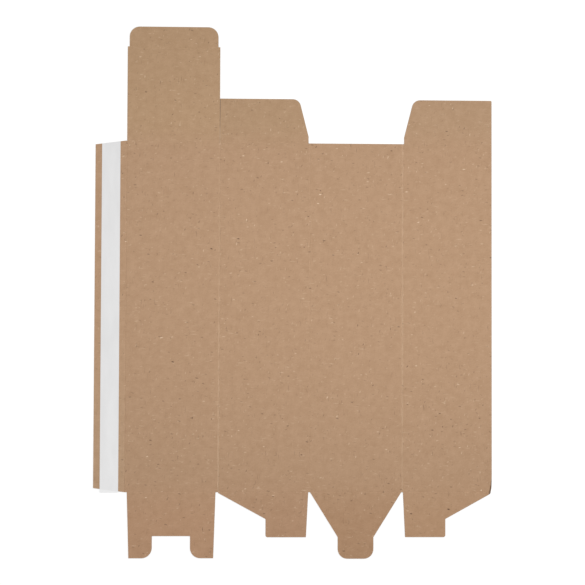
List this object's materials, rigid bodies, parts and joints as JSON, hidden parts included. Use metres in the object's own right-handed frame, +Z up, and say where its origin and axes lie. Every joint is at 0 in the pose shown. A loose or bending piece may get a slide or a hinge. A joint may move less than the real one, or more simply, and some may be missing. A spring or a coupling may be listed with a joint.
{
  "type": "flattened cardboard box",
  "caption": "Flat die-cut cardboard box blank with creased walls, tuck-in lid, dust flaps, snap-lock bottom flaps and a taped glue flap under a white liner.",
  "frame": {"origin": "centre of the blank's outline box, on its inner face, which lies down", "axes": "+X along the row of walls from the glue flap to the closing wall, +Y from the bottom lock flaps to the lid, +Z up out of the outer face"},
  "size_m": [0.3906, 0.5218, 0.0018],
  "materials": {
    "kraft_board": "matte",
    "adhesive_film": "satin",
    "liner_paper": "satin"
  },
  "bodies": {
    "root": {"carton_blank": "kraft_board", "adhesive_strip": "adhesive_film", "release_liner": "liner_paper"}
  },
  "joints": []
}
